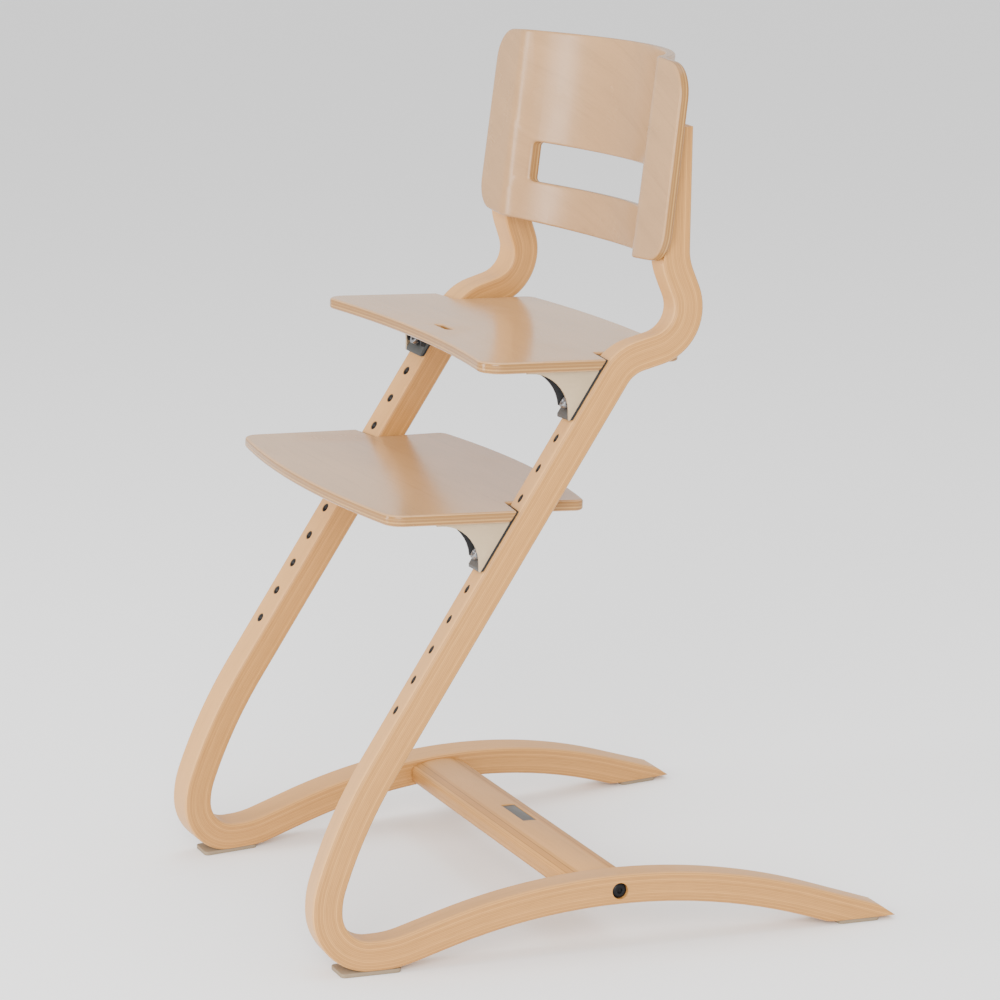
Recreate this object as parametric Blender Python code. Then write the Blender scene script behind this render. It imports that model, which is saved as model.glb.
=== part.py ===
"""Adjustable wooden high chair: two bent side frames, a crossbar, a backrest,
and a seat plate and a foot plate whose brackets slide along the straight legs.

Metres, +Z up, +X is the chair's left side, and the chair faces -Y.
The origin is on the floor, under the middle of the chair.  The drawing starts at the
front of the feet, and main() moves the finished pieces by ORIGIN_Y.
A side frame is drawn in its own flat plane.  That plane is turned by SPLAY about
the axis of the straight leg, so the legs stay parallel and the feet stand wider.
"""
import math

import bmesh
import bpy
from mathutils import Matrix, Vector

GAP = 0.0003                          # free space between pieces that touch
ORIGIN_Y = 0.2589                     # from the front of the feet to the origin

# Side frames
SPLAY = math.radians(7.0)             # turn of a frame's plane about the leg axis
LEG_ANGLE = math.radians(56.4)        # slope of the straight leg, from the floor
LEG_Y = 0.1191                        # a point on the leg axis ...
LEG_Z = 0.2996
LEG_X = 0.1847                        # ... and its distance from the middle
FRAME_DEPTH = 0.0285                  # section of the bent wood in its own plane
FRAME_WIDTH = 0.0330                  # section across that plane
FRAME_ROUND = 0.0040
FRAME_TOP_Z = 0.7610
SEGMENT = 0.012                       # longest straight piece in a bend
# Bends as (length, 0) for straight stretches and (radius, turn in degrees)
UP_PATH = ((0.2840, 0), (0.042, -41.4), (0.0187, 0), (0.040, 95.0), (0.016, 0), (0.060, -22.7),
           (0.125, 0))
DOWN_PATH = ((0.1313, 0), (0.473, 14.3), (0.082, 19.3), (0.0412, 90.0), (0.006, 0), (0.105, 16.3),
             (0.0393, 0), (0.590, -35.6), (0.0829, 0))
TIP_Y = 0.5250                        # where the top of the rear tip starts to slope ...
TIP_Z = 0.0180
TIP_SLOPE = math.radians(36.0)

# Floor pads
PAD_HEIGHT = 0.0040
PAD_WIDTH = 0.0310
PAD_CORNER = 0.0045
FRONT_PAD_Y = (-0.0012, 0.0560)
REAR_PAD_Y = (0.4870, 0.5290)

# Row of holes in each leg, for threaded inserts
HOLE_COUNT = 12
HOLE_PITCH = 0.0320
FIRST_HOLE_Z = 0.2411
HOLE_RADIUS = 0.0046
HOLE_LENGTH = 0.0150

# Plates: plan sizes, with edges that curve as y + curve * x * x
PLATE = 0.0105                        # thickness
PLATE_TILT = math.radians(2.4)        # the front edge is higher
SEAT_TOP = 0.5539                     # top face at the front of the legs
SEAT_STEPS_ABOVE_FOOT = 5
LEG_CLEAR = 0.0038                    # room for the gasket between a plate and the leg
HALF_AT_LEG = 0.2035                  # half width in front of the legs ...
REAR_HALF_AT_LEG = 0.1632             # ... and between them
REAR_HALF = 0.1715
NOTCH_CORNER = 0.0025
SEAT_FRONT = (0.1575, -0.400, 0.2050, 0.0190)     # y, curve, half width, corner radius
SEAT_REAR = (0.3665, -0.400, 0.0110)              # y, curve, corner radius
FOOT_FRONT = (0.0365, 0.430, 0.1995, 0.0180)
FOOT_REAR = (0.2740, -0.550, 0.0100)
STRAP_SLOT = (0.0, 0.1885, 0.0160, 0.0036)    # centre x, centre y, half length, half width

# Brackets, in the plane of the frame
BRACKET_WALL = 0.0026
LINER_WALL = 0.0014
LINER_INSET = 0.0006                  # it stops this far inside the bracket's hollow edge
GASKET = 0.0022
GASKET_STEP = 0.0015                  # it ends this far below the plate's top face
BRACKET_NOSE = 0.0725                 # reach in front of the leg at the top
BRACKET_LIP = 0.0034
BRACKET_HOLLOW = 0.0350               # radius of the hollow front edge
BRACKET_TIP = 0.0446                  # height of the bracket
BOLT_RADIUS = 0.0029
BOLT_HEAD_RADIUS = 0.0056
BOLT_HEAD_HEIGHT = 0.0050
SCREW_RADIUS = 0.0020
SCREW_HEAD_RADIUS = 0.0038
SCREW_HEAD_HEIGHT = 0.0016
SCREW_HEAD_PLAY = 0.0009              # the bracket's wall is not quite square to the screw
SCREW_BITE = 0.0060

# Crossbar
BAR_Y = 0.2605
BAR_Z = 0.0535
BAR_WIDTH = 0.0590
BAR_THICK = 0.0230
BAR_CROWN = 0.0050                    # the top falls this much to its long edges
BAR_TOP_ROUND = 0.0060
BAR_LOW_ROUND = 0.0080
BAR_BOLT_Y = 0.2675
BAR_BOLT_Z = 0.0555
BAR_BOLT_RADIUS = 0.0038
BAR_HEAD_RADIUS = 0.0075
BAR_HEAD_DEPTH = 0.0050
BAR_INSERT_RADIUS = 0.0060
BAR_INSERT_LENGTH = 0.0180
BADGE = (0.0, 0.2662, 0.0280, 0.0070)        # centre x, centre y, half length, half width
BADGE_THICK = 0.0012
BADGE_DEPTH = 0.0015                  # its face lies below the bar's highest line

# Backrest
BACK_PLY = 0.0095
BACK_LEAN = math.radians(7.5)
BACK_FOOT_Y = 0.3220                  # a point on the back of the flanges
BACK_FOOT_Z = 0.6375
BACK_BOTTOM = 0.0030                  # edges at the corners, up the slope from that point
BACK_TOP = 0.1805
BACK_CROWN = 0.0085                   # the edges bulge this much in the middle
BACK_LOW_HALF = 0.2115                # half width at the bottom ...
BACK_HIGH_HALF = 0.2080               # ... and at the top
BACK_LOW_CORNER = 0.0270
BACK_HIGH_CORNER = 0.0330
BACK_SAG = 0.0580                     # depth of the hollow, on the front face
BACK_BOW_HALF = 0.1485                # where the hollow meets the flat flanges
BACK_BLEND = 0.0060                   # softness of that bend
BACK_COLUMNS = 44                     # strips in each half of the curve
SLOT_HALF = 0.1300
SLOT_LOW = 0.0375
SLOT_HIGH = 0.0765
SLOT_CORNER = 0.0040
BACK_SCREW_RADIUS = 0.0026
BACK_SCREW_HEAD = 0.0052
BACK_SCREW_AT = {"lower": 0.0550, "upper": 0.1020}      # heights along the slope
UPRIGHT_DEPTH = 0.0215                # from the flange to the seat of a screw's head ...
UPRIGHT_TAPER = 0.071                 # ... less this much for each metre up the slope

LEG = Vector((0.0, math.cos(LEG_ANGLE), math.sin(LEG_ANGLE)))
HOLE_STEP_Z = HOLE_PITCH * LEG.z
FOOT_TOP = SEAT_TOP - SEAT_STEPS_ABOVE_FOOT * HOLE_STEP_Z
SIDES = {"left": 1.0, "right": -1.0}

COLOURS = {
    "beech": ((0.66, 0.50, 0.36), 0.45, 0.0),
    "ply": ((0.63, 0.47, 0.34), 0.42, 0.0),
    "aluminium": ((0.62, 0.56, 0.50), 0.35, 1.0),
    "black_plastic": ((0.02, 0.02, 0.02), 0.5, 0.0),
    "steel": ((0.45, 0.45, 0.46), 0.3, 1.0),
    "black_steel": ((0.03, 0.03, 0.03), 0.35, 0.8),
    "pad": ((0.56, 0.58, 0.52), 0.6, 0.0),
    "badge": ((0.42, 0.44, 0.42), 0.4, 0.6),
}


# ------------------------------------------------------------------ basics

def clear_scene():
    for old in list(bpy.data.objects):
        bpy.data.objects.remove(old, do_unlink=True)


def material(name):
    found = bpy.data.materials.get(name)
    if found:
        return found
    colour, roughness, metallic = COLOURS[name]
    made = bpy.data.materials.new(name)
    made.use_nodes = True
    shader = made.node_tree.nodes["Principled BSDF"]
    shader.inputs["Base Color"].default_value = (*colour, 1.0)
    shader.inputs["Roughness"].default_value = roughness
    shader.inputs["Metallic"].default_value = metallic
    return made


def make_object(name, bm, slot, parent=None):
    """Turn a bmesh in world coordinates into a named object."""
    bmesh.ops.recalc_face_normals(bm, faces=bm.faces)
    mesh = bpy.data.meshes.new(name)
    bm.to_mesh(mesh)
    bm.free()
    mesh.materials.append(material(slot))
    mesh.shade_smooth()
    mesh.set_sharp_from_angle(angle=math.radians(35))
    made = bpy.data.objects.new(name, mesh)
    bpy.context.collection.objects.link(made)
    if parent:
        made.parent = parent
        made.matrix_parent_inverse = parent.matrix_world.inverted()
    return made


def cutter(name, bm):
    made = make_object(name, bm, "steel")
    made.hide_render = True
    made.display_type = "WIRE"
    return made


def cut(target, tool, operation="DIFFERENCE"):
    modifier = target.modifiers.new(tool.name, "BOOLEAN")
    modifier.operation = operation
    modifier.solver = "EXACT"
    modifier.object = tool


def arc(centre, radius, start, end, steps):
    """Points on an arc in a plane, with the angles in degrees."""
    points = []
    for i in range(steps + 1):
        angle = math.radians(start + (end - start) * i / steps)
        points.append((centre[0] + radius * math.cos(angle), centre[1] + radius * math.sin(angle)))
    return points


def prism(bm, points, place, low, high, far_points=None):
    """Extrude a flat outline, or join two: place(a, b, w) gives a point in space."""
    bottom = [bm.verts.new(place(a, b, low)) for a, b in points]
    top = [bm.verts.new(place(a, b, high)) for a, b in far_points or points]
    caps = [bm.faces.new(bottom), bm.faces.new(top[::-1])]
    for i in range(len(points)):
        j = (i + 1) % len(points)
        bm.faces.new((bottom[i], top[i], top[j], bottom[j]))
    for cap in caps:
        cap.normal_update()
    bmesh.ops.triangulate(bm, faces=caps)


def rod(bm, start, end, radius, sides=16):
    """A round bar between two points."""
    start = Vector(start)
    axis = Vector(end) - start
    turn = axis.to_track_quat("Z", "Y").to_matrix().to_4x4()
    bmesh.ops.create_cone(bm, cap_ends=True, segments=sides, radius1=radius, radius2=radius,
                          depth=axis.length, matrix=Matrix.Translation(start + axis / 2) @ turn)


def revolve(bm, start, axis, profile, sides=16):
    """Turn a closed outline of (distance along the axis, radius) about an axis."""
    turn = Vector(axis).to_track_quat("Z", "Y").to_matrix()
    rings = []
    for along, radius in profile:
        if radius == 0:
            rings.append([bm.verts.new(Vector(start) + turn @ Vector((0, 0, along)))])
            continue
        ring = []
        for i in range(sides):
            angle = 2 * math.pi * i / sides
            offset = Vector((radius * math.cos(angle), radius * math.sin(angle), along))
            ring.append(bm.verts.new(Vector(start) + turn @ offset))
        rings.append(ring)
    for first, second in zip(rings, rings[1:] + rings[:1]):
        if len(first) == 1 and len(second) == 1:
            continue
        for i in range(sides):
            j = (i + 1) % sides
            corners = [first[i % len(first)], second[i % len(second)]]
            corners += [second[j % len(second)], first[j % len(first)]]
            bm.faces.new(list(dict.fromkeys(corners)))


def keep_side(bm, point, normal):
    """Cut with a plane, drop what lies on the side its normal points to, and close the cut."""
    parts = bm.verts[:] + bm.edges[:] + bm.faces[:]
    result = bmesh.ops.bisect_plane(bm, geom=parts, dist=1e-7, plane_co=point, plane_no=normal,
                                    clear_outer=True)
    rim = [item for item in result["geom_cut"] if isinstance(item, bmesh.types.BMEdge)]
    bmesh.ops.edgeloop_fill(bm, edges=rim)


# ------------------------------------------------------------ frame plane

def across(side):
    """Unit normal of a side frame's plane, pointing outwards."""
    return Vector((side * math.cos(SPLAY), -LEG.z * math.sin(SPLAY), LEG.y * math.sin(SPLAY)))


def in_frame(side):
    """A function that places (y, z, outward offset) of a side frame in space."""
    normal = across(side)

    def place(y, z, w):
        behind = (y - LEG_Y) * LEG.z - (z - LEG_Z) * LEG.y
        return Vector((side * (LEG_X + math.tan(SPLAY) * behind), y, z)) + normal * w
    return place


def leg_front(z, forward=0.0):
    """Y of the leg's front face at a height, or of a line in front of it."""
    axis_y = LEG_Y + (z - LEG_Z) * LEG.y / LEG.z
    return axis_y - (FRAME_DEPTH / 2 + forward) / LEG.z


def forward_normal(side):
    """Unit normal of the leg's front face."""
    return across(side).cross(LEG) * side


def walk(path, heading):
    """Centre line of a chain of straights and bends: (y, z, heading) at each step."""
    y, z = LEG_Y, LEG_Z
    stations = [(y, z, heading)]
    for size, turn in path:
        length = size if turn == 0 else size * math.radians(abs(turn))
        steps = 1 if turn == 0 else max(2, math.ceil(length / SEGMENT))
        if size < 0.2 and turn:
            steps = max(steps, math.ceil(abs(turn) / 9))
        for _ in range(steps):
            change = math.radians(turn) / steps
            chord = length / steps
            if turn:
                chord = 2 * size * math.sin(abs(change) / 2)
            y += chord * math.cos(heading + change / 2)
            z += chord * math.sin(heading + change / 2)
            heading += change
            stations.append((y, z, heading))
    return stations


def frame_section():
    """Rounded rectangle of the bent wood: (offset in the plane, offset across it)."""
    half_depth = FRAME_DEPTH / 2 - FRAME_ROUND
    half_width = FRAME_WIDTH / 2 - FRAME_ROUND
    corners = ((1, 1, 0), (-1, 1, 90), (-1, -1, 180), (1, -1, 270))
    points = []
    for a, b, start in corners:
        points += arc((a * half_depth, b * half_width), FRAME_ROUND, start, start + 90, 3)
    return points


# ------------------------------------------------------------- wooden parts

def side_frame(name, side):
    down = walk(DOWN_PATH, LEG_ANGLE + math.pi)
    up = walk(UP_PATH, LEG_ANGLE)
    stations = [(y, z, h - math.pi) for y, z, h in reversed(down)] + up[1:]
    place = in_frame(side)
    section = frame_section()
    bm = bmesh.new()
    rings = []
    for y, z, heading in stations:
        ring = []
        for a, b in section:
            ring.append(bm.verts.new(place(y - a * math.sin(heading), z + a * math.cos(heading), b)))
        rings.append(ring)
    bm.faces.new(rings[0])
    bm.faces.new(rings[-1][::-1])
    for first, second in zip(rings, rings[1:]):
        for i in range(len(section)):
            j = (i + 1) % len(section)
            bm.faces.new((first[i], first[j], second[j], second[i]))
    bmesh.ops.recalc_face_normals(bm, faces=bm.faces)
    keep_side(bm, (0, 0, PAD_HEIGHT + GAP), (0, 0, -1))
    keep_side(bm, (0, 0, FRAME_TOP_Z), (0, 0, 1))
    frame = make_object(name, bm, "beech")

    flat = bmesh.new()
    prism(flat, [(-0.3, 0.0), (0.3, 0.0), (0.3, 0.2), (-0.3, 0.2)], back_point, -0.05, GAP)
    cut(frame, cutter(name + "_flat", flat))

    tip = bmesh.new()
    prism(tip, tip_outline(), place, -0.03, 0.03)
    cut(frame, cutter(name + "_tip", tip))

    holes = bmesh.new()
    for i in range(HOLE_COUNT):
        mouth = hole_mouth(side, i)
        into = -forward_normal(side)
        rod(holes, mouth - into * 0.003, mouth + into * HOLE_LENGTH, HOLE_RADIUS, 12)
    for at in BACK_SCREW_AT.values():
        middle = back_screw_point(side, at)
        rod(holes, middle - back_normal() * 0.004, middle + back_normal() * 0.060,
            BACK_SCREW_RADIUS + GAP, 12)
    middle = bar_bolt_point(side)
    out = Vector((side, 0, 0))
    rod(holes, middle - out * 0.030, middle + out * 0.030, BAR_BOLT_RADIUS + GAP)
    cut(frame, cutter(name + "_holes", holes))

    sockets = bmesh.new()
    rod(sockets, middle + out * (FRAME_WIDTH / 2 - BAR_HEAD_DEPTH - GAP), middle + out * 0.030,
        BAR_HEAD_RADIUS + GAP, 20)
    for at in BACK_SCREW_AT.values():
        head = back_screw_head(side, at)
        rod(sockets, head - back_normal() * GAP, head + back_normal() * 0.030,
            BACK_SCREW_HEAD + GAP, 16)
    cut(frame, cutter(name + "_sockets", sockets))


def tip_outline():
    """Wedge that slopes the top of the rear tip, in the plane of the frame."""
    along = Vector((math.cos(TIP_SLOPE), -math.sin(TIP_SLOPE)))
    above = Vector((math.sin(TIP_SLOPE), math.cos(TIP_SLOPE)))
    start = Vector((TIP_Y, TIP_Z)) - along * 0.010
    end = start + along * 0.060
    return [tuple(start), tuple(end), tuple(end + above * 0.050), tuple(start + above * 0.050)]


def hole_mouth(side, index):
    """Middle of a hole's mouth on the leg's front face."""
    z = FIRST_HOLE_Z + index * HOLE_STEP_Z
    return in_frame(side)(leg_front(z), z, 0.0)


def rounded_outline(corners):
    """Closed outline with rounded corners: each corner is (x, y, radius)."""
    points = []
    count = len(corners)
    for i, (x, y, radius) in enumerate(corners):
        here = Vector((x, y))
        if radius == 0:
            points.append((x, y))
            continue
        back = (Vector(corners[i - 1][:2]) - here).normalized()
        ahead = (Vector(corners[(i + 1) % count][:2]) - here).normalized()
        half = back.angle(ahead) / 2
        reach = radius / math.tan(half)
        centre = here + (back + ahead).normalized() * (radius / math.sin(half))
        first = here + back * reach - centre
        last = here + ahead * reach - centre
        turn = first.angle_signed(last)
        for step in range(6):
            angle = -turn * step / 5
            spin = Matrix.Rotation(angle, 2)
            points.append(tuple(centre + spin @ first))
    return points


def plate_normal():
    return Vector((0, math.sin(PLATE_TILT), math.cos(PLATE_TILT)))


def on_plate(top, x, y, below=0.0):
    """A point over (x, y) on a plate's top face, moved square to it by the depth below."""
    z = top + math.tan(PLATE_TILT) * (leg_front(top) - y)
    return Vector((x, y, z)) - plate_normal() * below


def level(top, y, below):
    """Height of the plane that lies a depth below a plate's top face."""
    return on_plate(top, 0, y).z - below / math.cos(PLATE_TILT)


def plate_outline(height, front, rear):
    """Plan of a plate at a height: wide in front of the legs, it passes between them."""
    at_leg = leg_front(height) - LEG_CLEAR
    slant = (FRAME_WIDTH / 2 + 0.001) * math.sin(SPLAY) / LEG.z
    front_y, front_curve, front_half, front_radius = front
    rear_y, rear_curve, rear_radius = rear
    count = 6
    half = [(front_half * i / count, front_y + front_curve * (front_half * i / count) ** 2, 0)
            for i in range(count)]
    half.append((front_half, front_y + front_curve * front_half ** 2, front_radius))
    half.append((HALF_AT_LEG, at_leg - slant, NOTCH_CORNER))
    half.append((REAR_HALF_AT_LEG, at_leg + slant, NOTCH_CORNER))
    half.append((REAR_HALF, rear_y + rear_curve * REAR_HALF ** 2, rear_radius))
    for i in reversed(range(count)):
        x = REAR_HALF * i / count
        half.append((x, rear_y + rear_curve * x ** 2, 0))
    mirrored = [(-x, y, r) for x, y, r in reversed(half[1:-1])]
    return rounded_outline(half + mirrored)


def plate(name, parent, top, front, rear):
    """A plate whose notches slope with the legs."""
    bm = bmesh.new()
    prism(bm, plate_outline(top - PLATE, front, rear),
          lambda x, y, below: on_plate(top, x, y, below), PLATE, 0.0, plate_outline(top, front, rear))
    made = make_object(name, bm, "ply", parent)
    pilot = bmesh.new()
    up = plate_normal()
    for side in SIDES.values():
        for place in plate_screw_places(side, top).values():
            rod(pilot, place - up * 0.004, place + up * (SCREW_BITE + GAP), SCREW_RADIUS + GAP, 10)
    cut(made, cutter(name + "_pilots", pilot))
    return made


def seat_plate(parent):
    made = plate("seat_plate", parent, SEAT_TOP, SEAT_FRONT, SEAT_REAR)
    slot = bmesh.new()
    x, y, half_length, half_width = STRAP_SLOT
    straight = half_length - half_width
    ends = arc((x + straight, y), half_width, -90, 90, 6)
    ends += arc((x - straight, y), half_width, 90, 270, 6)
    prism(slot, ends, lambda a, b, below: on_plate(SEAT_TOP, a, b, below), PLATE + 0.005, -0.005)
    cut(made, cutter("seat_plate_slot", slot))


def foot_plate(parent):
    plate("foot_plate", parent, FOOT_TOP, FOOT_FRONT, FOOT_REAR)


# ------------------------------------------------------------------ backrest

def back_normal():
    """Points backwards, square to the flanges of the backrest."""
    return Vector((0, math.cos(BACK_LEAN), -math.sin(BACK_LEAN)))


def back_point(x, along, behind):
    """A point from the back of the flanges: across, up the slope, and behind it."""
    up = Vector((0, math.sin(BACK_LEAN), math.cos(BACK_LEAN)))
    return Vector((x, BACK_FOOT_Y, BACK_FOOT_Z)) + up * along + back_normal() * behind


def back_depth(x, grow):
    """Depth of the curved face behind the flange, with a soft bend where they meet."""
    inner = (BACK_BOW_HALF ** 2 + BACK_SAG ** 2) / (2 * BACK_SAG)
    radius = inner + grow
    reach = min(abs(x), radius)
    depth = math.sqrt(radius ** 2 - reach ** 2) - (inner - BACK_SAG) - grow
    if abs(depth) < BACK_BLEND:
        return (depth + BACK_BLEND) ** 2 / (4 * BACK_BLEND)
    return max(depth, 0.0)


def backrest():
    reach = BACK_LOW_HALF + 0.010
    columns = [reach * i / BACK_COLUMNS for i in range(-BACK_COLUMNS, BACK_COLUMNS + 1)]
    front = [(x, back_depth(x, 0) - back_depth(reach, 0) - BACK_PLY) for x in columns]
    rear = [(x, back_depth(x, BACK_PLY) - back_depth(reach, BACK_PLY)) for x in columns]
    bm = bmesh.new()
    prism(bm, rear + front[::-1], lambda x, behind, along: back_point(x, along, behind),
          BACK_BOTTOM - 0.03, BACK_TOP + 0.03)
    panel = make_object("backrest", bm, "ply")

    shape = bmesh.new()
    prism(shape, rounded_outline(back_outline()), lambda x, along, behind: back_point(x, along, behind),
          -0.05, 0.12)
    cut(panel, cutter("backrest_outline", shape), "INTERSECT")

    slot = bmesh.new()
    corners = [(-SLOT_HALF, SLOT_LOW, SLOT_CORNER), (SLOT_HALF, SLOT_LOW, SLOT_CORNER),
               (SLOT_HALF, SLOT_HIGH, SLOT_CORNER), (-SLOT_HALF, SLOT_HIGH, SLOT_CORNER)]
    prism(slot, rounded_outline(corners), lambda x, along, behind: back_point(x, along, behind),
          -0.06, 0.13)
    cut(panel, cutter("backrest_slot", slot))

    pilots = bmesh.new()
    for side in SIDES.values():
        for at in BACK_SCREW_AT.values():
            middle = back_screw_point(side, at)
            rod(pilots, middle + back_normal() * 0.005, middle - back_normal() * (SCREW_BITE + GAP),
                BACK_SCREW_RADIUS + GAP, 12)
    cut(panel, cutter("backrest_pilots", pilots))


def back_outline():
    """Corners and crowned edges of the backrest: (across, up the slope, corner radius)."""
    count = 6
    top = []
    bottom = []
    for i in range(-count, count + 1):
        share = i / count
        corner = abs(i) == count
        crown = BACK_CROWN * (1 - share * share)
        top.append((-BACK_HIGH_HALF * share, BACK_TOP + crown, BACK_HIGH_CORNER * corner))
        bottom.append((BACK_LOW_HALF * share, BACK_BOTTOM - crown, BACK_LOW_CORNER * corner))
    return bottom + top


def back_screw_point(side, along):
    """Where a backrest screw passes the back of the flange."""
    point = back_point(0, along, 0)
    return Vector((in_frame(side)(point.y + 0.01, point.z, 0).x, point.y, point.z))


def back_screw_head(side, along):
    """Seat of a backrest screw's head, sunk in the upright's rear face."""
    return back_screw_point(side, along) + back_normal() * (UPRIGHT_DEPTH - UPRIGHT_TAPER * along)


def backrest_screw(name, side, along):
    head = back_screw_head(side, along)
    tip = back_screw_point(side, along) - back_normal() * SCREW_BITE
    length = (head - tip).length
    profile = ((0, 0), (0, BACK_SCREW_RADIUS), (length, BACK_SCREW_RADIUS),
               (length, BACK_SCREW_HEAD), (length + 0.0028, BACK_SCREW_HEAD * 0.9),
               (length + 0.0028, 0.0018), (length + 0.0008, 0.0018), (length + 0.0008, 0))
    bm = bmesh.new()
    revolve(bm, tip, back_normal(), profile, 12)
    make_object(name, bm, "black_steel")


# ------------------------------------------------------------------ crossbar

def bar_bolt_point(side):
    return in_frame(side)(BAR_BOLT_Y, BAR_BOLT_Z, 0.0)


def bar_section():
    """Section of the crossbar: flat below and crowned above."""
    half = BAR_WIDTH / 2
    low = BAR_Z - BAR_THICK / 2
    high = BAR_Z + BAR_THICK / 2
    corners = [(BAR_Y - half, low, BAR_LOW_ROUND), (BAR_Y + half, low, BAR_LOW_ROUND)]
    count = 4
    for i in range(count, -count - 1, -1):
        share = i / count
        radius = BAR_TOP_ROUND if abs(i) == count else 0
        corners.append((BAR_Y + half * share, high - BAR_CROWN * share ** 2, radius))
    return rounded_outline(corners)


def crossbar():
    bm = bmesh.new()
    prism(bm, bar_section(), lambda y, z, x: Vector((x, y, z)), -0.24, 0.24)
    bmesh.ops.recalc_face_normals(bm, faces=bm.faces)
    for side in SIDES.values():
        inner = in_frame(side)(BAR_Y, BAR_Z, -FRAME_WIDTH / 2 - GAP)
        keep_side(bm, inner, across(side))
    bar = make_object("crossbar", bm, "beech")

    holes = bmesh.new()
    for side in SIDES.values():
        end = bar_end(side)
        inward = Vector((-side, 0, 0))
        rod(holes, end - inward * 0.006, end + inward * (BAR_INSERT_LENGTH + 0.006),
            BAR_INSERT_RADIUS + GAP)
    cut(bar, cutter("crossbar_holes", holes))

    face = BAR_Z + BAR_THICK / 2 - BADGE_DEPTH
    recess = bmesh.new()
    prism(recess, badge_outline(GAP), lambda x, y, z: Vector((x, y, z)),
          face - BADGE_THICK - GAP, face + 0.005)
    cut(bar, cutter("crossbar_recess", recess))

    badge = bmesh.new()
    prism(badge, badge_outline(0.0), lambda x, y, z: Vector((x, y, z)), face - BADGE_THICK, face)
    make_object("badge_plate", badge, "badge")


def badge_outline(grow):
    x, y, half_length, half_width = BADGE
    a = half_length + grow
    b = half_width + grow
    return rounded_outline([(x - a, y - b, 0.0015), (x + a, y - b, 0.0015),
                            (x + a, y + b, 0.0015), (x - a, y + b, 0.0015)])


def bar_end(side):
    """Where the crossbar's bolt axis leaves the crossbar's end."""
    normal = across(side)
    inner = in_frame(side)(BAR_Y, BAR_Z, -FRAME_WIDTH / 2 - GAP)
    axis = Vector((0, BAR_BOLT_Y, BAR_BOLT_Z))
    x = (inner - axis).dot(normal) / normal.x
    return Vector((x, BAR_BOLT_Y, BAR_BOLT_Z))


def crossbar_fixings(side_name, side):
    inward = Vector((-side, 0, 0))
    start = bar_end(side) + inward * 0.002
    insert = bmesh.new()
    bore = BAR_BOLT_RADIUS + 0.0002
    profile = ((0, bore), (0, BAR_INSERT_RADIUS), (BAR_INSERT_LENGTH, BAR_INSERT_RADIUS),
               (BAR_INSERT_LENGTH, bore))
    revolve(insert, start, inward, profile)
    make_object("crossbar_insert_" + side_name, insert, "steel")

    bolt = bmesh.new()
    seat = bar_bolt_point(side) - inward * (FRAME_WIDTH / 2 - BAR_HEAD_DEPTH)
    tip = start + inward * (BAR_INSERT_LENGTH - 0.002)
    length = (seat - tip).length
    head = BAR_HEAD_DEPTH - 0.0012
    profile = ((0, 0), (0, BAR_BOLT_RADIUS), (length, BAR_BOLT_RADIUS), (length, BAR_HEAD_RADIUS),
               (length + head * 0.6, BAR_HEAD_RADIUS), (length + head, BAR_HEAD_RADIUS * 0.72),
               (length + head, 0.0028), (length + 0.0010, 0.0028), (length + 0.0010, 0))
    revolve(bolt, tip, -inward, profile, 18)
    make_object("crossbar_bolt_" + side_name, bolt, "black_steel")


# ------------------------------------------------------------------ brackets

def bracket_marks(top):
    """Reference values of a bracket: y of its nose, centre of its hollow, height of its tip."""
    under = level(top, leg_front(top), PLATE + GAP)
    nose = leg_front(under) - BRACKET_NOSE
    centre_y = nose + BRACKET_LIP
    centre_z = level(top, centre_y, PLATE + GAP) - BRACKET_LIP - BRACKET_HOLLOW
    return nose, (centre_y, centre_z), under - BRACKET_TIP


def bracket_outline(top, rise):
    """Gusset with a hollow front edge; rise carries its top edge past the plate."""
    nose, centre, tip = bracket_marks(top)
    back = GASKET + 2 * GAP
    high = level(top, nose, PLATE + GAP) + rise
    points = [(leg_front(high, back), high), (nose, high), (nose, centre[1] + BRACKET_HOLLOW)]
    points += arc(centre, BRACKET_HOLLOW, 90, 0, 10)
    points += [(centre[0] + BRACKET_HOLLOW, tip), (leg_front(tip, back), tip)]
    return points


def bracket(name, side, top, parent):
    """Metal shell: an outer cheek, a top wall and a wall against the leg."""
    place = in_frame(side)
    bm = bmesh.new()
    prism(bm, bracket_outline(top, 0.006), place, -FRAME_WIDTH / 2, FRAME_WIDTH / 2)
    bmesh.ops.recalc_face_normals(bm, faces=bm.faces)
    keep_side(bm, on_plate(top, 0, 0, PLATE + GAP), plate_normal())
    shell = make_object(name, bm, "aluminium", parent)

    hollow = bmesh.new()
    half = FRAME_WIDTH / 2
    prism(hollow, hollow_outline(top, BRACKET_WALL), place, -half - 0.005, half - BRACKET_WALL)
    cut(shell, cutter(name + "_hollow", hollow))
    drill(shell, name, side, top, BOLT_RADIUS + GAP, SCREW_RADIUS + GAP)


def hollow_outline(top, inset):
    """Space inside a bracket: it runs out through the hollow front edge and the tip."""
    nose, _, tip = bracket_marks(top)
    back = GASKET + 2 * GAP + inset
    high = level(top, leg_front(top), PLATE + GAP + inset)
    front = nose - 0.005
    low = tip - 0.005
    return [(leg_front(high, back), high), (front, level(top, front, PLATE + GAP + inset)),
            (front, low), (leg_front(low, back), low)]


def liner(name, side, top, parent):
    """Black moulding that fills a bracket and forms its inner cheek."""
    place = in_frame(side)
    bm = bmesh.new()
    half = FRAME_WIDTH / 2
    outer = half - BRACKET_WALL - GAP
    inset = BRACKET_WALL + GAP
    prism(bm, liner_outline(top, inset), place, -half, outer)
    made = make_object(name, bm, "black_plastic", parent)
    hollow = bmesh.new()
    prism(hollow, hollow_outline(top, inset + LINER_WALL), place, BRACKET_WALL - half,
          outer - LINER_WALL)
    cut(made, cutter(name + "_hollow", hollow))
    drill(made, name, side, top, BOLT_RADIUS + GAP, SCREW_HEAD_RADIUS + 0.0006)


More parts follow.
